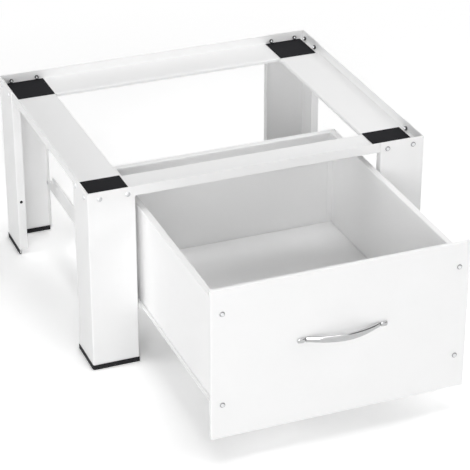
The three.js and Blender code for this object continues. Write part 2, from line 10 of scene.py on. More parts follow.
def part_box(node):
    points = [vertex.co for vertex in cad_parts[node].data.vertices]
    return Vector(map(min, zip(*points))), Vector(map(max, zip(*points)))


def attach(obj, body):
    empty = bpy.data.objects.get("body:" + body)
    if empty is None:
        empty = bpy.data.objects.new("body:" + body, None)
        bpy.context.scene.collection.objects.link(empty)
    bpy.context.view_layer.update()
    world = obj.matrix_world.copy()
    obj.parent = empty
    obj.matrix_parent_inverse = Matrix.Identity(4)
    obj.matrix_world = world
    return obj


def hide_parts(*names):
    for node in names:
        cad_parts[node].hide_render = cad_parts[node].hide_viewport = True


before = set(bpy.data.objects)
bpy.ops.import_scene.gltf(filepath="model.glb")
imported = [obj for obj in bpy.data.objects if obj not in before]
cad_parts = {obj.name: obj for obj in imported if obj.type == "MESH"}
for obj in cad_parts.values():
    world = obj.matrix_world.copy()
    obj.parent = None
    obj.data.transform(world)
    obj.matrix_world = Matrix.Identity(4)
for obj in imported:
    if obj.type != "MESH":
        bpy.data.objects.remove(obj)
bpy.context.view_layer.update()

# ------------------------------------------------------------------------------------------------ camera
# The photograph looks down on the front left corner through a long lens, from about four metres away. The
# place, the aim and the lens come from fitting the stand's corners to the picture.

PICTURE_WIDTH = 470
FOCAL_PIXELS = 1985.7
CAMERA_PLACE = (-1.1839, -2.9376, 1.8455)
CAMERA_TILT = math.radians(-27.957)
CAMERA_TURN = math.radians(-21.721)

lens = bpy.data.cameras.new("photo_camera")
lens.sensor_width = 36
lens.lens = lens.sensor_width * FOCAL_PIXELS / PICTURE_WIDTH
lens.clip_end = 60
camera = bpy.data.objects.new("photo_camera", lens)
camera.location = CAMERA_PLACE
camera.rotation_euler = (math.pi / 2 + CAMERA_TILT, 0, CAMERA_TURN)
bpy.context.scene.collection.objects.link(camera)
bpy.context.scene.camera = camera

# ------------------------------------------------------------------------------------------------ legs
# Each leg is one sheet of steel folded round the corner of the stand, with a return flange on both free
# edges between the foot cap and the rail. It is powder coated white, in a coat with a faint orange peel.


class Shade:
    """A socket on its way through a material. Arithmetic on numbers adds Math nodes."""

    def __init__(self, finish, link):
        self.finish, self.link = finish, link

    def _math(self, operation, first, second):
        return self.finish.node("ShaderNodeMath", {"operation": operation}, {0: first, 1: second})

    def __add__(self, other):
        return self._math("ADD", self, other)

    def __radd__(self, other):
        return self._math("ADD", other, self)

    def __sub__(self, other):
        return self._math("SUBTRACT", self, other)

    def __rsub__(self, other):
        return self._math("SUBTRACT", other, self)

    def __mul__(self, other):
        return self._math("MULTIPLY", self, other)

    def __rmul__(self, other):
        return self._math("MULTIPLY", other, self)


class Finish:
    """A material's nodes. node() adds one: its settings first, then its sockets' values or links."""

    def __init__(self, name, tree=None):
        self.material = None if tree else bpy.data.materials.new(name)
        if self.material:
            self.material.use_nodes = True
        self.tree = tree or self.material.node_tree
        self.tree.nodes.clear()

    def node(self, kind, settings=None, sockets=None, output=0):
        node = self.tree.nodes.new(kind)
        for name, value in (settings or {}).items():
            setattr(node, name, value)
        for name, value in (sockets or {}).items():
            if isinstance(value, Shade):
                self.tree.links.new(value.link, node.inputs[name])
            else:
                node.inputs[name].default_value = value
        return Shade(self, node.outputs[output]) if node.outputs else node

    def noise(self, scale, detail):
        """Noise over the piece itself, in cells of about 1 / scale metres."""
        place = self.node("ShaderNodeTexCoord", output="Object")
        return self.node("ShaderNodeTexNoise", None, {"Vector": place, "Scale": scale, "Detail": detail})

    def between(self, factor, first, second):
        """A colour from first to second."""
        return self.node("ShaderNodeMix", {"data_type": "RGBA"}, {0: factor, 6: first, 7: second}, output=2)

    def bump(self, height, strength, distance):
        sockets = {"Height": height, "Strength": strength, "Distance": distance}
        return self.node("ShaderNodeBump", None, sockets)

    def surface(self, **sockets):
        named = {name.replace("_", " "): value for name, value in sockets.items()}
        shader = self.node("ShaderNodeBsdfPrincipled", None, named)
        self.node("ShaderNodeOutputMaterial", None, {"Surface": shader})
        return self.material


def powder_coat():
    coat = Finish("white_powder_coat")
    drift = coat.noise(14, 3)
    peel = coat.noise(900, 2)
    colour = coat.between(drift, (0.915, 0.915, 0.915, 1), (0.94, 0.94, 0.94, 1))
    return coat.surface(
        Base_Color=colour,
        Roughness=0.34 + 0.1 * drift,
        Specular_IOR_Level=0.45,
        Coat_Weight=0.12,
        Coat_Roughness=0.25,
        Normal=coat.bump(peel, 0.12, 0.00006),
    )


white_coat = powder_coat()
sheet_edge = 0.0003


def folded(middle, sheet, bend, edge=sheet_edge, steps=6):
    """The outline of a folded sheet, from the middle line of its section, whose corners are the folds."""
    line = [Vector(point) for point in middle]
    radius = bend + sheet / 2
    left, right = [], []

    def lay(point, heading, half):
        aside = Vector((-heading.y, heading.x)) * half
        left.append(point + aside)
        right.append(point - aside)

    first = (line[1] - line[0]).normalized()
    last = (line[-1] - line[-2]).normalized()
    lay(line[0], first, sheet / 2 - edge)
    lay(line[0] + first * edge, first, sheet / 2)
    for before, corner, after in zip(line, line[1:], line[2:]):
        arriving = (corner - before).normalized()
        leaving = (after - corner).normalized()
        turn = math.atan2(arriving.cross(leaving), arriving.dot(leaving))
        start = corner - arriving * radius * math.tan(abs(turn) / 2)
        hub = start + Vector((-arriving.y, arriving.x)) * math.copysign(radius, turn)
        for step in range(steps + 1):
            spin = Matrix.Rotation(turn * step / steps, 2)
            lay(hub + spin @ (start - hub), spin @ arriving, sheet / 2)
    lay(line[-1] - last * edge, last, sheet / 2)
    lay(line[-1], last, sheet / 2 - edge)
    return left + right[::-1]


def drawn_in(outline, distance):
    """An outline with every side moved inwards."""
    area = sum(a.cross(b) for a, b in zip(outline, outline[1:] + outline[:1]))
    side = math.copysign(distance, area)
    moved = []
    for before, point, after in zip(outline[-1:] + outline, outline, outline[1:] + outline[:1]):
        normals = [Vector((-way.y, way.x)).normalized() for way in (point - before, after - point)
                   if way.length > 1e-7]
        middle = sum(normals, Vector((0, 0))).normalized()
        moved.append(point + middle * side / max(0.5, middle.dot(normals[0])))
    return moved


def loft(rings):
    """A closed skin through rings of as many points, with a face over the first and the last."""
    shape = bmesh.new()
    rows = [[shape.verts.new(point) for point in ring] for ring in rings]
    for row, following in zip(rows, rows[1:]):
        for i, corner in enumerate(row):
            shape.faces.new((row[i - 1], corner, following[i], following[i - 1]))
    shape.faces.new(rows[0][::-1])
    shape.faces.new(rows[-1])
    return shape


def sweep(outline, place, start, end, soft=(True, True), edge=sheet_edge):
    """An outline drawn out from start to end, which may depend on the point. Soft ends are rounded over."""
    def ring(points, limit, offset):
        ends = [limit(point) if callable(limit) else limit for point in outline]
        return [Vector(place(point.x, point.y, far + offset)) for point, far in zip(points, ends)]

    small = drawn_in(outline, edge)
    rings = [ring(small, start, 0), ring(outline, start, edge)] if soft[0] else [ring(outline, start, 0)]
    rings += [ring(outline, end, -edge), ring(small, end, 0)] if soft[1] else [ring(outline, end, 0)]
    return loft(rings)


def carved(shape, *cutters):
    """A shape less some others."""
    def as_object(form):
        bmesh.ops.recalc_face_normals(form, faces=form.faces)
        mesh = bpy.data.meshes.new("blank")
        form.to_mesh(mesh)
        form.free()
        blank = bpy.data.objects.new("blank", mesh)
        bpy.context.scene.collection.objects.link(blank)
        return blank

    blank = as_object(shape)
    tools = [as_object(cutter) for cutter in cutters]
    for tool in tools:
        cut = blank.modifiers.new("cut", "BOOLEAN")
        cut.operation, cut.solver, cut.object = "DIFFERENCE", "EXACT", tool
    result = bmesh.new()
    result.from_object(blank, bpy.context.evaluated_depsgraph_get())
    for spare in [blank] + tools:
        bpy.data.objects.remove(spare)
    return result


def rod(centre, axis, radius, length, sides=32):
    """A cylinder about centre."""
    turn = Vector((0, 0, 1)).rotation_difference(Vector(axis)).to_matrix().to_4x4()
    shape = bmesh.new()
    bmesh.ops.create_cone(shape, cap_ends=True, segments=sides, radius1=radius, radius2=radius, depth=length,
                          matrix=Matrix.Translation(centre) @ turn)
    return shape


def together(*shapes):
    """Several shapes in one."""
    whole = bmesh.new()
    for shape in shapes:
        part = bpy.data.meshes.new("part")
        bmesh.ops.recalc_face_normals(shape, faces=shape.faces)
        shape.to_mesh(part)
        shape.free()
        whole.from_mesh(part)
        bpy.data.meshes.remove(part)
    return whole


crease = math.radians(50)


def stand_in(name, shape, materials, body, slot, *nodes):
    """Makes a piece of a shape. It rides on a body and takes the place of the nodes, if it has any."""
    bmesh.ops.remove_doubles(shape, verts=shape.verts, dist=1e-7)
    bmesh.ops.recalc_face_normals(shape, faces=shape.faces)
    mesh = bpy.data.meshes.new(name)
    shape.to_mesh(mesh)
    shape.free()
    mesh.shade_smooth()
    mesh.set_sharp_from_angle(angle=crease)
    for material in materials if isinstance(materials, tuple) else (materials,):
        mesh.materials.append(material)
    piece = bpy.data.objects.new(name, mesh)
    bpy.context.scene.collection.objects.link(piece)
    even = piece.modifiers.new("even", "WEIGHTED_NORMAL")
    even.keep_sharp = True
    even.weight = 100
    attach(piece, body)
    if nodes:
        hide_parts(*nodes)


SIDES = (("left", -1), ("right", 1))
ENDS = (("front", -1), ("rear", 1))
CORNERS = [(f"{end}_{side}", sign_x, sign_y) for end, sign_y in ENDS for side, sign_x in SIDES]

plate = 0.0015
plate_bend = 0.001
leg_return = 0.016
return_hole = 0.0024
hole_cutter = 0.012
return_hole_height = sum(corner.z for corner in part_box("bar_screw_front_left")) / 2
spare_hole_rise = 0.014
spare_hole_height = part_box("runner_bar_left")[0].z + spare_hole_rise
bar_screw_inset = 0.009
lip_height = 0.019
shelf_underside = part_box("rail_front")[1].z - lip_height
cap_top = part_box("foot_cap_front_left")[1].z
trunk_low = cap_top + sheet_edge
trunk_high = shelf_underside - sheet_edge


def outer_corner(node, sign_x, sign_y):
    """The corner of a node's box that faces away from the stand's middle."""
    low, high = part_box(node)
    return Vector((high.x if sign_x > 0 else low.x, high.y if sign_y > 0 else low.y))


def from_corner(outer, sign_x, sign_y):
    """Places a point of a leg's section, measured inwards from the leg's outer corner."""
    return lambda u, v, z: (outer.x - sign_x * u, outer.y - sign_y * v, z)


for corner, sign_x, sign_y in CORNERS:
    low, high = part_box(f"leg_{corner}")
    width, depth = high.x - low.x, high.y - low.y
    inwards = from_corner(outer_corner(f"leg_{corner}", sign_x, sign_y), sign_x, sign_y)
    mid = plate / 2
    walls = folded([(width, mid), (mid, mid), (mid, depth)], plate, plate_bend)
    full = folded([(width - mid, leg_return), (width - mid, mid), (mid, mid), (mid, depth - mid),
                   (leg_return, depth - mid)], plate, plate_bend)
    trunk = carved(
        sweep(full, inwards, trunk_low, trunk_high),
        rod(inwards(width, bar_screw_inset, return_hole_height), (1, 0, 0), return_hole, hole_cutter),
        rod(inwards(leg_return / 2, depth, spare_hole_height), (0, 1, 0), return_hole, hole_cutter),
    )
    stand_in(
        f"painted_leg_{corner}",
        together(
            trunk,
            sweep(walls, inwards, low.z, trunk_low, soft=(True, False)),
            sweep(walls, inwards, trunk_high, high.z, soft=(False, True)),
        ),
        white_coat, "frame", "white_paint", f"leg_{corner}",
    )

# ------------------------------------------------------------------------------------------------ foot caps
# A soft black channel is pushed on the lower edges of each leg's two walls. It is moulded plastic with a
# matt grain, and it keeps the steel off the floor.


def black_plastic():
    cap = Finish("black_cap_plastic")
    grain = cap.noise(1300, 3)
    scuff = cap.noise(60, 4)
    colour = cap.between(scuff, (0.01, 0.01, 0.011, 1), (0.022, 0.022, 0.024, 1))
    return cap.surface(
        Base_Color=colour,
        Roughness=0.5 + 0.2 * scuff,
        Specular_IOR_Level=0.2,
        Normal=cap.bump(grain, 0.3, 0.00008),
    )


cap_plastic = black_plastic()
cap_floor = 0.002
cap_wall = 0.0008
cap_slack = 0.0002
cap_edge = 0.0002
cap_inner_bend = 0.0002
cap_outer_bend = 0.0027

for corner, sign_x, sign_y in CORNERS:
    low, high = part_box(f"foot_cap_{corner}")
    leg_low, leg_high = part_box(f"leg_{corner}")
    width, depth = leg_high.x - leg_low.x, leg_high.y - leg_low.y
    inwards = from_corner(outer_corner(f"leg_{corner}", sign_x, sign_y), sign_x, sign_y)

    def band(line, thickness, bend):
        return folded([(width, line), (line, line), (line, depth)], thickness, bend, edge=cap_edge)

    def wall(line, bend):
        return sweep(band(line, cap_wall, bend), inwards, cap_floor, high.z, soft=(False, True), edge=cap_edge)

    mid = plate / 2
    aside = mid + cap_slack + cap_wall / 2
    tray_width = plate + 2 * (cap_slack + cap_wall)
    stand_in(
        f"moulded_foot_cap_{corner}",
        together(
            sweep(band(mid, tray_width, cap_inner_bend), inwards, low.z, cap_floor, soft=(True, False)),
            wall(mid - aside, cap_outer_bend),
            wall(mid + aside, cap_inner_bend),
        ),
        cap_plastic, "frame", "black_rubber", f"foot_cap_{corner}",
    )

# ------------------------------------------------------------------------------------------------ rails
# Four rails join the legs at the top. Each has a lip that keeps the machine in place, a wide shelf under the
# machine's feet, and a small fold down on its inner edge. The shelves meet in mitres at the corners.

mitre_gap = 0.0004
left_low, left_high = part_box("rail_left")
front_low, front_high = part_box("rail_front")
stand_middle = (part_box("leg_front_left")[0].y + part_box("leg_rear_left")[1].y) / 2
lip_x = -left_low.x
shelf_x = -left_high.x
lip_y = stand_middle - front_low.y
shelf_y = stand_middle - front_high.y
diagonal = math.hypot(lip_x - shelf_x, lip_y - shelf_y)


def rail_section(lip, shelf):
    """Across a rail, as distance from the stand's middle and height."""
    mid = plate / 2
    level = shelf_underside + mid
    return folded(
        [(lip - mid, front_high.z), (lip - mid, level), (shelf + mid, level), (shelf + mid, front_low.z)],
        plate, plate_bend)


def cross_rail_end(point):
    """How far along x the front or rear rail reaches at a point of its section, up to the mitre."""
    return shelf_x + (point.x - shelf_y) * (lip_x - shelf_x) / (lip_y - shelf_y) - (
        mitre_gap / 2 * diagonal / (lip_y - shelf_y))


def side_rail_end(point):
    """How far along y a side rail reaches from the stand's middle, in the same way."""
    return shelf_y + (point.x - shelf_x) * (lip_y - shelf_y) / (lip_x - shelf_x) - (
        mitre_gap / 2 * diagonal / (lip_x - shelf_x))


for end, sign in ENDS:
    shape = sweep(
        rail_section(lip_y, shelf_y),
        lambda across, z, along: (along, stand_middle + sign * across, z),
        lambda point: -cross_rail_end(point), cross_rail_end,
    )
    stand_in(f"painted_rail_{end}", shape, white_coat, "frame", "white_paint", f"rail_{end}")
for side, sign in SIDES:
    shape = sweep(
        rail_section(lip_x, shelf_x),
        lambda across, z, along: (sign * across, stand_middle + along, z),
        lambda point: -side_rail_end(point), side_rail_end,
    )
    stand_in(f"painted_rail_{side}", shape, white_coat, "frame", "white_paint", f"rail_{side}")

# ------------------------------------------------------------------------------------------------ hole plugs
# A small black push-in plug closes the spare hole in the return of each leg's side wall. It is moulded from
# the same plastic as the foot caps.


def turned(profile, sides=36):
    """A turned shape about Y, from radii and places along Y."""
    angles = [2 * math.pi * i / sides for i in range(sides)]
    return loft([[Vector((radius * math.cos(angle), y, radius * math.sin(angle))) for angle in angles]
                 for radius, y in profile])


plug_head = 0.003
plug_dome = 0.0009
plug_tip = 0.0008
plug_depth = 0.003
plug_taper = 0.0008
plug_neck = return_hole - 0.0001
plug_profile = [
    (plug_tip, plug_dome), (0.002, 0.0007), (0.0028, 0.0003), (plug_head, 0), (plug_neck, -0.0001),
    (plug_neck, plug_taper - plug_depth), (plug_neck - 0.0005, -plug_depth), (plug_tip, -plug_depth)]
for corner, sign_x, sign_y in CORNERS:
    low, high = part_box(f"leg_{corner}")
    outer = outer_corner(f"leg_{corner}", sign_x, sign_y)
    seat = Vector((outer.x - sign_x * leg_return / 2, low.y if sign_y > 0 else high.y, spare_hole_height))
    turn = Matrix.Rotation(0 if sign_y < 0 else math.pi, 4, "Z")
    plug = turned(plug_profile)
    bmesh.ops.transform(plug, matrix=Matrix.Translation(seat) @ turn, verts=plug.verts)
    stand_in(f"hole_plug_{corner}", plug, cap_plastic, "frame", "black_rubber")

# ------------------------------------------------------------------------------------------------ pads
# A square of black rubber sheet lies over the mitre at each corner, where the machine's feet stand. It is cut
# from a finely grained mat and glued down.


def rubber_mat():
    mat = Finish("black_rubber_mat")
    grain = mat.noise(1600, 2)
    dust = mat.noise(45, 4)
    colour = mat.between(dust, (0.007, 0.007, 0.0085, 1), (0.014, 0.014, 0.016, 1))
    return mat.surface(
        Base_Color=colour,
        Roughness=0.7 + 0.2 * dust,
        Specular_IOR_Level=0.1,
        Normal=mat.bump(grain, 0.5, 0.00012),
    )


mat_rubber = rubber_mat()


def rounded_loop(low, high, radius, steps=4):
    """A rectangle between two corners, with round corners, as points on a plane."""
    inner_low = Vector(low) + Vector((radius, radius))
    inner_high = Vector(high) - Vector((radius, radius))
    hubs = [(inner_high.x, inner_high.y), (inner_low.x, inner_high.y), (inner_low.x, inner_low.y),
            (inner_high.x, inner_low.y)]
    points = []
    for quarter, hub in enumerate(hubs):
        for step in range(steps + 1):
            angle = math.pi / 2 * (quarter + step / steps)
            points.append(Vector(hub) + radius * Vector((math.cos(angle), math.sin(angle))))
    return points


def upwards(x, y, z):
    return x, y, z


pad_corner = 0.0015
pad_edge = 0.0004
for corner, _, _ in CORNERS:
    low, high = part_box(f"pad_{corner}")
    loop = rounded_loop(low.xy, high.xy, pad_corner)
    shape = sweep(loop, upwards, low.z, high.z, edge=pad_edge)
    stand_in(f"rubber_pad_{corner}", shape, mat_rubber, "frame", "black_rubber", f"pad_{corner}")

# ------------------------------------------------------------------------------------------------ leg bolts
# Two small domed bolts go through each wall of a leg and the lip behind it, into a hexagon nut. They are zinc
# plated steel, with a cross recess and a rolled thread that shows past the nut. The nuts are painted nearly
# black, a painted dark reflection. The heads on the left legs take a rougher, darker zinc all over; the others
# have a painted lit middle and a painted shade ring round the rim.


def zinc_plate(name, low, high, roughness):
    zinc = Finish(name)
    bloom = zinc.noise(320, 4)
    scratches = zinc.noise(2600, 2)
    colour = zinc.between(bloom, (low, low * 1.01, low * 1.03, 1), (high, high, high * 1.01, 1))
    return zinc.surface(
        Base_Color=colour,
        Metallic=1.0,
        Roughness=roughness + 0.15 * bloom,
        Normal=zinc.bump(scratches, 0.15, 0.00003),
    )


# The lit and the shade zinc are a lit and a shaded copy of one zinc plate: screw heads get a painted lit
# middle and a painted shade ring round the rim.
painted_lit_zinc = zinc_plate("painted_lit_zinc_steel", 0.86, 0.95, 0.35)
painted_shade_zinc = zinc_plate("painted_shade_zinc_steel", 0.3, 0.38, 0.5)
dull_zinc = zinc_plate("dull_zinc_steel", 0.7, 0.78, 0.6)
# The nuts are painted nearly black, a painted dark reflection.
painted_dark_reflection_nut = zinc_plate("painted_dark_reflection_nut_steel", 0.05, 0.1, 0.25)
screw_zinc_with_painted_shading = (painted_lit_zinc, painted_shade_zinc, painted_dark_reflection_nut)
dull_screw_zinc_with_painted_shading = (dull_zinc, dull_zinc, painted_dark_reflection_nut)
# Past this share of its radius a head takes the painted shade ring.
painted_shade_rim_start = 0.66
bolt_radius = 0.002
bolt_head = 0.0045
bolt_head_height = 0.0022
thread_pitch = 0.0007
thread_root = 0.86
nut_flats = 0.007
nut_height = 0.0032
nut_chamfer = 0.0004


def cross_recess(height, reach=0.0019, width=0.0007, depth=0.0009):
    """The cutter for a screwdriver's cross, tapering into a head from its top."""
    floor_share = 0.45

    def ring(scale, y):
        arms = []
        for quarter in range(4):
            spin = Matrix.Rotation(quarter * math.pi / 2, 2)
            arms += [spin @ Vector(point) for point in
                     ((reach * scale, -width / 2), (reach * scale, width / 2), (width / 2, width / 2))]
        return [Vector((point.x, y, point.y)) for point in arms]

    return loft([ring(floor_share, height - depth), ring(1, height + 0.0002)])


def screw_shape(head, head_height, radius, length, thread_from):
    """A domed screw pointing along -Y, its head on y = 0, with thread on its far part. The outer part of the
    head takes the second of its materials; where that is the painted shade zinc, it is a painted shade ring."""
    rim = head_height * 0.22
    dome_steps = 8
    slopes = [math.pi / 2 * step / dome_steps for step in range(1, dome_steps)]
    dome = [(head, rim)] + [
        (head * math.cos(slope), rim + (head_height - rim) * math.sin(slope)) for slope in slopes]
    dome[-1] = (head * 0.12, head_height)
    thread = []
    for ridge in range(int((length - thread_from) / thread_pitch) - 1):
        top = -thread_from - ridge * thread_pitch
        thread += [(radius, top), (radius, top - thread_pitch * 0.25),
                   (radius * thread_root, top - thread_pitch * 0.6)]
    point = [(radius * thread_root, -length + 0.0004), (radius * 0.5, -length)]
    profile = dome[::-1] + [(head, 0.0002), (head - 0.0002, 0), (radius, 0)] + thread + point
    screw = carved(turned(profile), cross_recess(head_height))
    for face in screw.faces:
        middle = face.calc_center_median()
        # The head's outer faces take the second material, the painted shade ring.
        if middle.y > 0 and math.hypot(middle.x, middle.z) > painted_shade_rim_start * head:
            face.material_index = 1
    return screw


def nut_shape(face):
    """A hexagon nut with chamfered corners, whose near face is at y = -face. It takes the third material,
    which paints the nut nearly black as a painted dark reflection.
    """
    corner = nut_flats / math.sqrt(3)
    inner = nut_flats / 2 * 0.97
    far = face + nut_height

    def ring(scale, y):
        spots = [(corner if i % 2 == 0 else nut_flats / 2, math.pi / 6 * i) for i in range(12)]
        return [Vector((min(size, scale) * math.cos(angle), y, min(size, scale) * math.sin(angle)))
                for size, angle in spots]

    nut = loft([ring(inner, -face), ring(corner, -face - nut_chamfer), ring(corner, nut_chamfer - far),
                ring(inner, -far)])
    for side in nut.faces:
        side.material_index = 2
    return nut


def placed(shape, matrix):
    copy = shape.copy()
    bmesh.ops.transform(copy, matrix=matrix, verts=copy.verts)
    return copy


bolt_seat = 0.0001
bolt_face = 2 * (plate + bolt_seat)
bolt_tip = 0.0025
bolt_length = bolt_face + nut_height + bolt_tip
leg_bolt = together(
    screw_shape(bolt_head, bolt_head_height, bolt_radius, bolt_length, bolt_face + nut_height),
    nut_shape(bolt_face),
)
for corner, sign_x, sign_y in CORNERS:
    outer = outer_corner(f"leg_{corner}", sign_x, sign_y)
    for number in (1, 2, 3, 4):
        node = f"leg_bolt_{corner}_{number}"
        low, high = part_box(node)
        middle = (low + high) / 2
        if number <= 2:
            seat = Vector((middle.x, outer.y + sign_y * bolt_seat, middle.z))
            turn = 0 if sign_y > 0 else math.pi
        else:
            seat = Vector((outer.x + sign_x * bolt_seat, middle.y, middle.z))
            turn = -sign_x * math.pi / 2
        shape = placed(leg_bolt, Matrix.Translation(seat) @ Matrix.Rotation(turn, 4, "Z"))
        # Heads on the left legs take the rougher zinc all over; the rest get the painted lit middle and
        # painted shade rim.
        finish = dull_screw_zinc_with_painted_shading if corner.endswith("left") else screw_zinc_with_painted_shading
        stand_in(f"zinc_{node}", shape, finish, "frame", "zinc_steel", node)
leg_bolt.free()

# ------------------------------------------------------------------------------------------------ runner bars
# A strip of sheet stands between the front and the rear leg on each side and carries a fixed rail. Its top is
# folded towards the drawer, and a screw through the lower tab at each end holds it to the leg's return.

bar_hole = 0.0018
bar_hole_cutter = 0.01
bar_hole_from_end = 0.07
bar_hole_drop = 0.009
bar_tab_height = 0.018
bar_tab_length = 0.038

for side, sign in SIDES:
    low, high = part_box(f"runner_bar_{side}")
    outer = high.x if sign > 0 else low.x
    flange = high.x - low.x
    mid = plate / 2

    def across(u, z, y):
        return outer - sign * u, y, z

    tab = folded([(mid, low.z), (mid, low.z + bar_tab_height)], plate, plate_bend)
    formed = folded([(mid, low.z), (mid, high.z - mid), (flange, high.z - mid)], plate, plate_bend)
    tab_from = low.y + bar_tab_length
    tab_to = high.y - bar_tab_length
    spots = (low.y + bar_hole_from_end, high.y - bar_hole_from_end)
    body = carved(sweep(formed, across, tab_from, tab_to), *[
        rod((outer, y, high.z - bar_hole_drop), (1, 0, 0), bar_hole, bar_hole_cutter) for y in spots])
    stand_in(
        f"painted_runner_bar_{side}",
        together(body, sweep(tab, across, low.y, tab_from, soft=(True, False)),
                 sweep(tab, across, tab_to, high.y, soft=(False, True))),
        white_coat, "frame", "white_paint", f"runner_bar_{side}",
    )

small_head = 0.004
small_head_height = 0.0018
bar_screw_length = 0.0028
bar_screw_thread = 0.0005
bar_screw = screw_shape(small_head, small_head_height, bolt_radius, bar_screw_length, bar_screw_thread)
for corner, sign_x, sign_y in CORNERS:
    node = f"bar_screw_{corner}"
    low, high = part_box(node)
    middle = (low + high) / 2
    head = (high.x if sign_x > 0 else low.x) - sign_x * small_head_height
    turn = -sign_x * math.pi / 2
    shape = placed(bar_screw, Matrix.Translation((head, middle.y, middle.z)) @ Matrix.Rotation(turn, 4, "Z"))
    stand_in(f"zinc_{node}", shape, dull_screw_zinc_with_painted_shading, "frame", "zinc_steel", node)
bar_screw.free()

# ------------------------------------------------------------------------------------------------ runners
# The fixed rail on each bar and the drawer rail under each side of the drawer are roll formed, and powder
# coated like the rest. Each carries a nylon roller on a riveted pin.


def white_nylon():
    nylon = Finish("white_nylon")
    wear = nylon.noise(120, 4)
    colour = nylon.between(wear, (0.72, 0.71, 0.67, 1), (0.82, 0.81, 0.78, 1))
    return nylon.surface(
        Base_Color=colour,
        Roughness=0.45 + 0.15 * wear,
        Subsurface_Weight=0.05,
        Normal=nylon.bump(nylon.noise(900, 2), 0.1, 0.00005),
    )


roller_nylon = white_nylon()
for side, _ in SIDES:
    for node in (f"fixed_rail_{side}", f"drawer_rail_{side}"):
        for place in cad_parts[node].material_slots:
            place.material = white_coat

roller_radius = 0.0088
roller_half = 0.003
roller_bore = 0.00295
roller_sides = 48
hub_radius = 0.0044
rim_radius = 0.0072
web_depth = 0.0006
web_slope = 0.0004
bore_edge = 0.0003
crown = 0.0001
roller_face = [
    (roller_bore + bore_edge, roller_half),
    (hub_radius, roller_half),
    (hub_radius + web_slope, roller_half - web_depth),
    (rim_radius - web_slope, roller_half - web_depth),
    (rim_radius, roller_half),
    (roller_radius - 0.0006, roller_half),
    (roller_radius - crown, roller_half - 0.0005),
]
roller_profile = [(radius, -x) for radius, x in roller_face] + [(roller_radius, 0)] + roller_face[::-1] + [
    (roller_bore, roller_half - bore_edge), (roller_bore, bore_edge - roller_half)]


def ring_round_x(profile, sides):
    """A turned ring about X, from radii and places along X."""
    shape = bmesh.new()
    angles = [2 * math.pi * i / sides for i in range(sides)]
    rows = [[shape.verts.new((x, radius * math.cos(angle), radius * math.sin(angle))) for angle in angles]
            for radius, x in profile]
    for row, following in zip(rows, rows[1:] + rows[:1]):
        for i, corner in enumerate(row):
            shape.faces.new((row[i - 1], corner, following[i], following[i - 1]))
    return shape


for end, _ in ENDS:
    for side, _ in SIDES:
        node = f"{end}_roller_{side}"
        low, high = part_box(node)
        shape = ring_round_x(roller_profile, roller_sides)
        bmesh.ops.translate(shape, vec=(low + high) / 2, verts=shape.verts)
        stand_in(f"nylon_{node}", shape, roller_nylon, node, "white_nylon", node)

# ------------------------------------------------------------------------------------------------ drawer box
# Each side of the drawer is one sheet: a foot flange under the bottom, a wall, and a hem folded over at the
# top. Its front flange takes the panel's screws, and the back is welded on behind its rear flange.

drawer_sheet = 0.0012
drawer_bend = 0.0006
hem = 0.012
hem_lip = 0.005
foot_flange = 0.012
front_flange = 0.024
rear_flange = 0.012
drawer_edge = 0.00025
panel_low, panel_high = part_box("drawer_front")
back_low, back_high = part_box("drawer_back")
bottom_low, bottom_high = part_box("drawer_bottom")

for side, sign in SIDES:
    low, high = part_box(f"drawer_side_{side}")
    outer = high.x if sign > 0 else low.x
    mid = drawer_sheet / 2
    corner_run = drawer_sheet + drawer_bend
    hem_end = high.y - hem - sheet_edge

    def across(u, z, y):
        return outer - sign * u, y, z

    def upright(u, v, z):
        return outer - sign * u, v, z

    foot = [(foot_flange, low.z + mid), (mid, low.z + mid)]
    hemmed = folded(foot + [(mid, high.z - mid), (hem - mid, high.z - mid), (hem - mid, high.z - hem_lip)],
                    drawer_sheet, drawer_bend, drawer_edge)
    plain = folded(foot + [(mid, high.z)], drawer_sheet, drawer_bend, drawer_edge)
    front = folded([(front_flange, low.y + mid), (mid, low.y + mid), (mid, low.y + corner_run)],
                   drawer_sheet, drawer_bend, drawer_edge)
    rear = folded([(rear_flange, high.y - mid), (mid, high.y - mid), (mid, high.y - corner_run)],
                  drawer_sheet, drawer_bend, drawer_edge)
    stand_in(
        f"painted_drawer_side_{side}",
        together(
            sweep(hemmed, across, low.y + corner_run, hem_end, soft=(False, True)),
            sweep(plain, across, hem_end, high.y - corner_run, soft=(False, False)),
            sweep(front, upright, low.z + corner_run, high.z - corner_run),
            sweep(rear, upright, low.z + corner_run, high.z - corner_run - sheet_edge),
        ),
        white_coat, "drawer", "white_paint", f"drawer_side_{side}",
    )

mid = drawer_sheet / 2
wall_y = back_high.y - mid
hem_y = back_low.y + mid
back_top = back_high.z - mid
back_section = folded(
    [(wall_y, back_low.z), (wall_y, back_top), (hem_y, back_top), (hem_y, back_high.z - hem_lip)],
    drawer_sheet, drawer_bend, drawer_edge)
wing_section = folded([(wall_y, back_low.z), (wall_y, back_high.z - drawer_sheet - drawer_bend)],
                      drawer_sheet, drawer_bend, drawer_edge)


def along_back(y, z, x):
    return x, y, z


hem_reach = bottom_high.x
stand_in(
    "painted_drawer_back",
    together(
        sweep(back_section, along_back, -hem_reach, hem_reach, edge=drawer_edge),
        sweep(wing_section, along_back, back_low.x, -hem_reach, soft=(True, False), edge=drawer_edge),
        sweep(wing_section, along_back, hem_reach, back_high.x, soft=(False, True), edge=drawer_edge),
    ),
    white_coat, "drawer", "white_paint", "drawer_back",
)

bottom_corner = 0.001
bottom_loop = rounded_loop(bottom_low.xy, bottom_high.xy, bottom_corner)
stand_in(
    "painted_drawer_bottom",
    sweep(bottom_loop, upwards, bottom_low.z, bottom_high.z, edge=drawer_edge),
    white_coat, "drawer", "white_paint", "drawer_bottom",
)

# ------------------------------------------------------------------------------------------------ drawer front
# The visible panel is a shallow tray of sheet, folded round on all four sides and open to the rear. Four
# domed screws go through its corners into the drawer's front flanges.

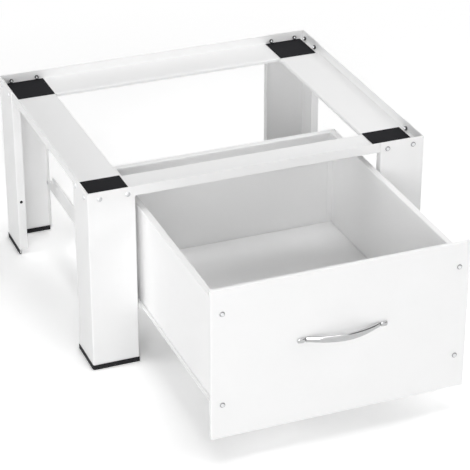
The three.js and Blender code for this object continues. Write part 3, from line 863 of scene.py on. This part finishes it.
side_return = 0.030
end_return = 0.012
panel_corner = 0.0018
sharpest_corner = 0.0003


def panel_ring(side_inset, end_inset, y, radius):
    """A rectangle with round corners across the panel at y, that far inside its edges."""
    loop = rounded_loop((panel_low.x + side_inset, panel_low.z + end_inset),
                        (panel_high.x - side_inset, panel_high.z - end_inset), radius)
    return [Vector((point.x, y, point.y)) for point in loop]


def fold_round(from_inset, front_y, rear_y, bend_radius, steps=4):
    """Rings round the panel's edge: out over one fold, back, and in over the other."""
    rings = []
    for step in range(steps + 1):
        angle = math.pi / 2 * step / steps
        inset = from_inset + bend_radius * (1 - math.sin(angle))
        rings.append((inset, inset, front_y + bend_radius * (1 - math.cos(angle))))
    for step in range(steps + 1):
        angle = math.pi / 2 * step / steps
        inset = from_inset + bend_radius * (1 - math.cos(angle))
        rings.append((inset, inset, rear_y - bend_radius * (1 - math.sin(angle))))
    return rings


def with_radius(insets):
    """Panel rings whose corners grow sharper as they step inwards."""
    return [panel_ring(side, end, y, max(sharpest_corner, panel_corner - min(side, end)))
            for side, end, y in insets]


outside = fold_round(0, panel_low.y, panel_high.y, drawer_sheet + drawer_bend)
inside = fold_round(drawer_sheet, panel_low.y + drawer_sheet, panel_high.y - drawer_sheet, drawer_bend)
inner_y = panel_high.y - drawer_sheet
window = [
    (side_return - drawer_edge, end_return - drawer_edge, panel_high.y),
    (side_return, end_return, panel_high.y - drawer_edge),
    (side_return, end_return, inner_y + drawer_edge),
    (side_return - drawer_edge, end_return - drawer_edge, inner_y),
]
tray = loft(with_radius(outside + window + inside[::-1]))
stand_in("painted_drawer_front", tray, white_coat, "drawer", "white_paint", "drawer_front")

panel_screw_length = 0.0142
panel_screw_thread = 0.0095
panel_screw = screw_shape(bolt_head, bolt_head_height, bolt_radius, panel_screw_length, panel_screw_thread)
for row in ("top", "bottom"):
    for side, _ in SIDES:
        node = f"front_screw_{row}_{side}"
        low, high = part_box(node)
        middle = (low + high) / 2
        seat = Matrix.Translation((middle.x, low.y + bolt_head_height, middle.z))
        shape = placed(panel_screw, seat @ Matrix.Rotation(math.pi, 4, "Z"))
        # The panel screws' heads get the painted lit middle and the painted shade rim.
        stand_in(f"zinc_{node}", shape, screw_zinc_with_painted_shading, "drawer", "zinc_steel", node)
panel_screw.free()

# ------------------------------------------------------------------------------------------------ handle
# The pull is a die-cast bow, chromed and polished. It is widest in the middle and runs down to a flat foot at
# each end, where a screw from behind the panel holds it.


def polished_chrome():
    chrome = Finish("polished_chrome")
    smudge = chrome.noise(55, 5)
    colour = chrome.between(smudge, (0.57, 0.572, 0.576, 1), (0.65, 0.652, 0.655, 1))
    return chrome.surface(
        Base_Color=colour,
        Metallic=1.0,
        Roughness=0.05 + 0.08 * smudge,
        Normal=chrome.bump(chrome.noise(35, 2), 0.02, 0.0004),
    )


handle_chrome = polished_chrome()
handle_low, handle_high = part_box("handle")
handle_middle = (handle_low + handle_high) / 2
handle_half = (handle_high.x - handle_low.x) / 2
stand_off = handle_high.y - handle_low.y
finger_gap = 0.017
gap_reach = 0.057
bow_reach = 0.068
foot_thickness = 0.004
collar_start = 0.0665
collar_depth = 0.0058
neck_half = 0.0008
neck_share = 0.6
collar_rim = 0.45
collar_face = 0.35
section_power = 0.8
middle_height = handle_high.z - handle_low.z
end_height = 0.009


def handle_ring(x, points=32):
    """A soft rectangle across the bow at x, or across the rounded collar at its end."""
    reach = abs(x)
    if reach < collar_start:
        front = stand_off - (stand_off - foot_thickness) * (x / bow_reach) ** 2
        rear = max(0, finger_gap * (1 - (x / gap_reach) ** 2))
        share = reach / handle_half
        tall = end_height + (middle_height - end_height) * math.cos(math.pi / 2 * share) ** 2
    else:
        along = 2 * (reach - collar_start) / (handle_half - collar_start) - 1
        barrel = (1 - min(1, abs(along)) ** 4) ** 0.5
        front, rear = collar_depth * (collar_face + (1 - collar_face) * barrel), 0
        tall = end_height * (collar_rim + (1 - collar_rim) * barrel)
    if abs(reach - collar_start) < neck_half:
        front, tall = foot_thickness * neck_share, end_height * neck_share
    ring = []
    for i in range(points):
        angle = 2 * math.pi * i / points
        u = math.copysign(abs(math.cos(angle)) ** section_power, math.cos(angle))
        v = math.copysign(abs(math.sin(angle)) ** section_power, math.sin(angle))
        depth = (front + rear) / 2 + u * (front - rear) / 2
        ring.append(Vector((x, handle_high.y - depth, handle_middle.z + v * tall / 2)))
    return ring


bow_steps = 56
collar_steps = 14
bow_clear = 0.0025
neck_clear = 0.0012
bow_end = collar_start - bow_clear
collar_width = handle_half - collar_start
right_end = [collar_start - neck_clear, collar_start - neck_half / 2, collar_start + neck_half / 2] + [
    collar_start + collar_width * i / collar_steps for i in range(1, collar_steps + 1)]
stations = [-x for x in right_end[::-1]] + [
    -bow_end + 2 * bow_end * i / bow_steps for i in range(bow_steps + 1)] + right_end
bow = loft([handle_ring(x) for x in stations])
stand_in("chrome_handle", bow, handle_chrome, "drawer", "chrome", "handle")

handle_screw_radius = 0.0018
handle_screw_length = 0.0044
handle_screw_thread = 0.0012
handle_screw = screw_shape(small_head, small_head_height, handle_screw_radius, handle_screw_length,
                           handle_screw_thread)
for side, _ in SIDES:
    node = f"handle_screw_{side}"
    low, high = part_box(node)
    middle = (low + high) / 2
    shape = placed(handle_screw, Matrix.Translation((middle.x, high.y - small_head_height, middle.z)))
    # The handle screws' heads get the painted lit middle and the painted shade rim.
    stand_in(f"zinc_{node}", shape, screw_zinc_with_painted_shading, "drawer", "zinc_steel", node)
handle_screw.free()

# ------------------------------------------------------------------------------------------------ studio
# A white floor runs out of sight, and the world behind it is white. The camera sees the floor paler than it
# is lit, so that it is as white as the photograph's ground and still takes the stand's soft shadow. Polished
# metal mirrors a dark room low down in front on the right, as the handle does in the photograph.

FLOOR_HALF = 14
floor_mesh = bpy.data.meshes.new("studio_floor")
floor_shape = bmesh.new()
bmesh.ops.create_grid(floor_shape, x_segments=1, y_segments=1, size=FLOOR_HALF)
floor_shape.to_mesh(floor_mesh)
floor_shape.free()
floor = bpy.data.objects.new("studio_floor", floor_mesh)
bpy.context.scene.collection.objects.link(floor)

FLOOR_GREY = 0.93
FLOOR_SEEN = 1.38
FLOOR_NEAR = 0.85
FLOOR_FAR = 1.6

ground = Finish("studio_ground")
direct = ground.node("ShaderNodeLightPath", output="Is Camera Ray")
shown = direct + ground.node("ShaderNodeLightPath", output="Is Glossy Ray")
paper = ground.between(direct, (FLOOR_GREY,) * 3 + (1,), (FLOOR_SEEN,) * 3 + (1,))
spot = ground.node("ShaderNodeTexCoord", output="Object")
away = ground.node("ShaderNodeVectorMath", {"operation": "LENGTH"}, {0: spot}, output=1)
far = ground.node("ShaderNodeMapRange", {"interpolation_type": "SMOOTHSTEP"},
                  {"Value": away, "From Min": FLOOR_NEAR, "From Max": FLOOR_FAR})
ground.node("ShaderNodeOutputMaterial", None, {
    "Surface": ground.node("ShaderNodeMixShader", None, {
        0: shown * far,
        1: ground.node("ShaderNodeBsdfDiffuse", None, {"Color": paper}),
        2: ground.node("ShaderNodeEmission", None, {"Color": (1, 1, 1, 1), "Strength": 1.0})})})
floor_mesh.materials.append(ground.material)

ROOM_LEFT = 0.34
ROOM_FRONT = -0.1
ROOM_TOP = 0.5
ROOM_BLUR = 0.06
WIDE_BLUR = 0.2

world = bpy.data.worlds.new("studio")
bpy.context.scene.world = world
world.use_nodes = True
sky = Finish("studio", world.node_tree)
mirrored = sky.node("ShaderNodeLightPath", output="Is Glossy Ray")
heading = sky.node("ShaderNodeTexCoord", output="Generated")


def fade(channel, start, end):
    """0 to 1 as one part of the direction goes from start to end."""
    part = sky.node("ShaderNodeSeparateXYZ", None, {0: heading}, output=channel)
    return sky.node("ShaderNodeMapRange", {"interpolation_type": "SMOOTHSTEP"},
                    {"Value": part, "From Min": start, "From Max": end})


right_of = fade(0, ROOM_LEFT, ROOM_LEFT + 2 * ROOM_BLUR)
in_front = fade(1, ROOM_FRONT, ROOM_FRONT - WIDE_BLUR)
below = fade(2, ROOM_TOP + ROOM_BLUR, ROOM_TOP)
room = mirrored * right_of * in_front * below
dark = sky.node("ShaderNodeBackground", None, {"Color": (0.02, 0.02, 0.02, 1), "Strength": 1.0})
white = sky.node("ShaderNodeBackground", None, {"Color": (1, 1, 1, 1), "Strength": 1.0})
backdrop = sky.node("ShaderNodeLightPath", output="Is Camera Ray") + mirrored - room
sky.node("ShaderNodeOutputWorld", None, {
    "Surface": sky.node("ShaderNodeMixShader", None, {0: backdrop, 1: dark, 2: white})})

LAMP_SIZE = 2.2
LAMP_DISTANCE = 4
LAMP_AIM = Vector((0, 0, 0.2))


def soft_box(name, around, height, watts, in_chrome=True):
    """A square lamp aimed at the stand, at an angle around it from the front and at a height above it. One
    that isn't in the chrome leaves the dark room in the mirror of polished metal."""
    turn, rise = math.radians(around), math.radians(height)
    way = Vector((math.sin(turn) * math.cos(rise), -math.cos(turn) * math.cos(rise), math.sin(rise)))
    lamp = bpy.data.lights.new(name, "AREA")
    lamp.shape, lamp.size, lamp.energy = "SQUARE", LAMP_SIZE, watts
    holder = bpy.data.objects.new(name, lamp)
    holder.location = LAMP_AIM + way * LAMP_DISTANCE
    holder.rotation_euler = way.to_track_quat("Z", "Y").to_euler()
    holder.visible_glossy = in_chrome
    bpy.context.scene.collection.objects.link(holder)


soft_box("front_lamp", -30, 15, 81)
soft_box("left_lamp", -90, 15, 48)
soft_box("right_lamp", 60, 25, 55, in_chrome=False)
soft_box("rear_lamp", 135, 45, 37)
soft_box("top_lamp", 0, 88, 59)

bpy.context.scene.view_settings.view_transform = "Standard"
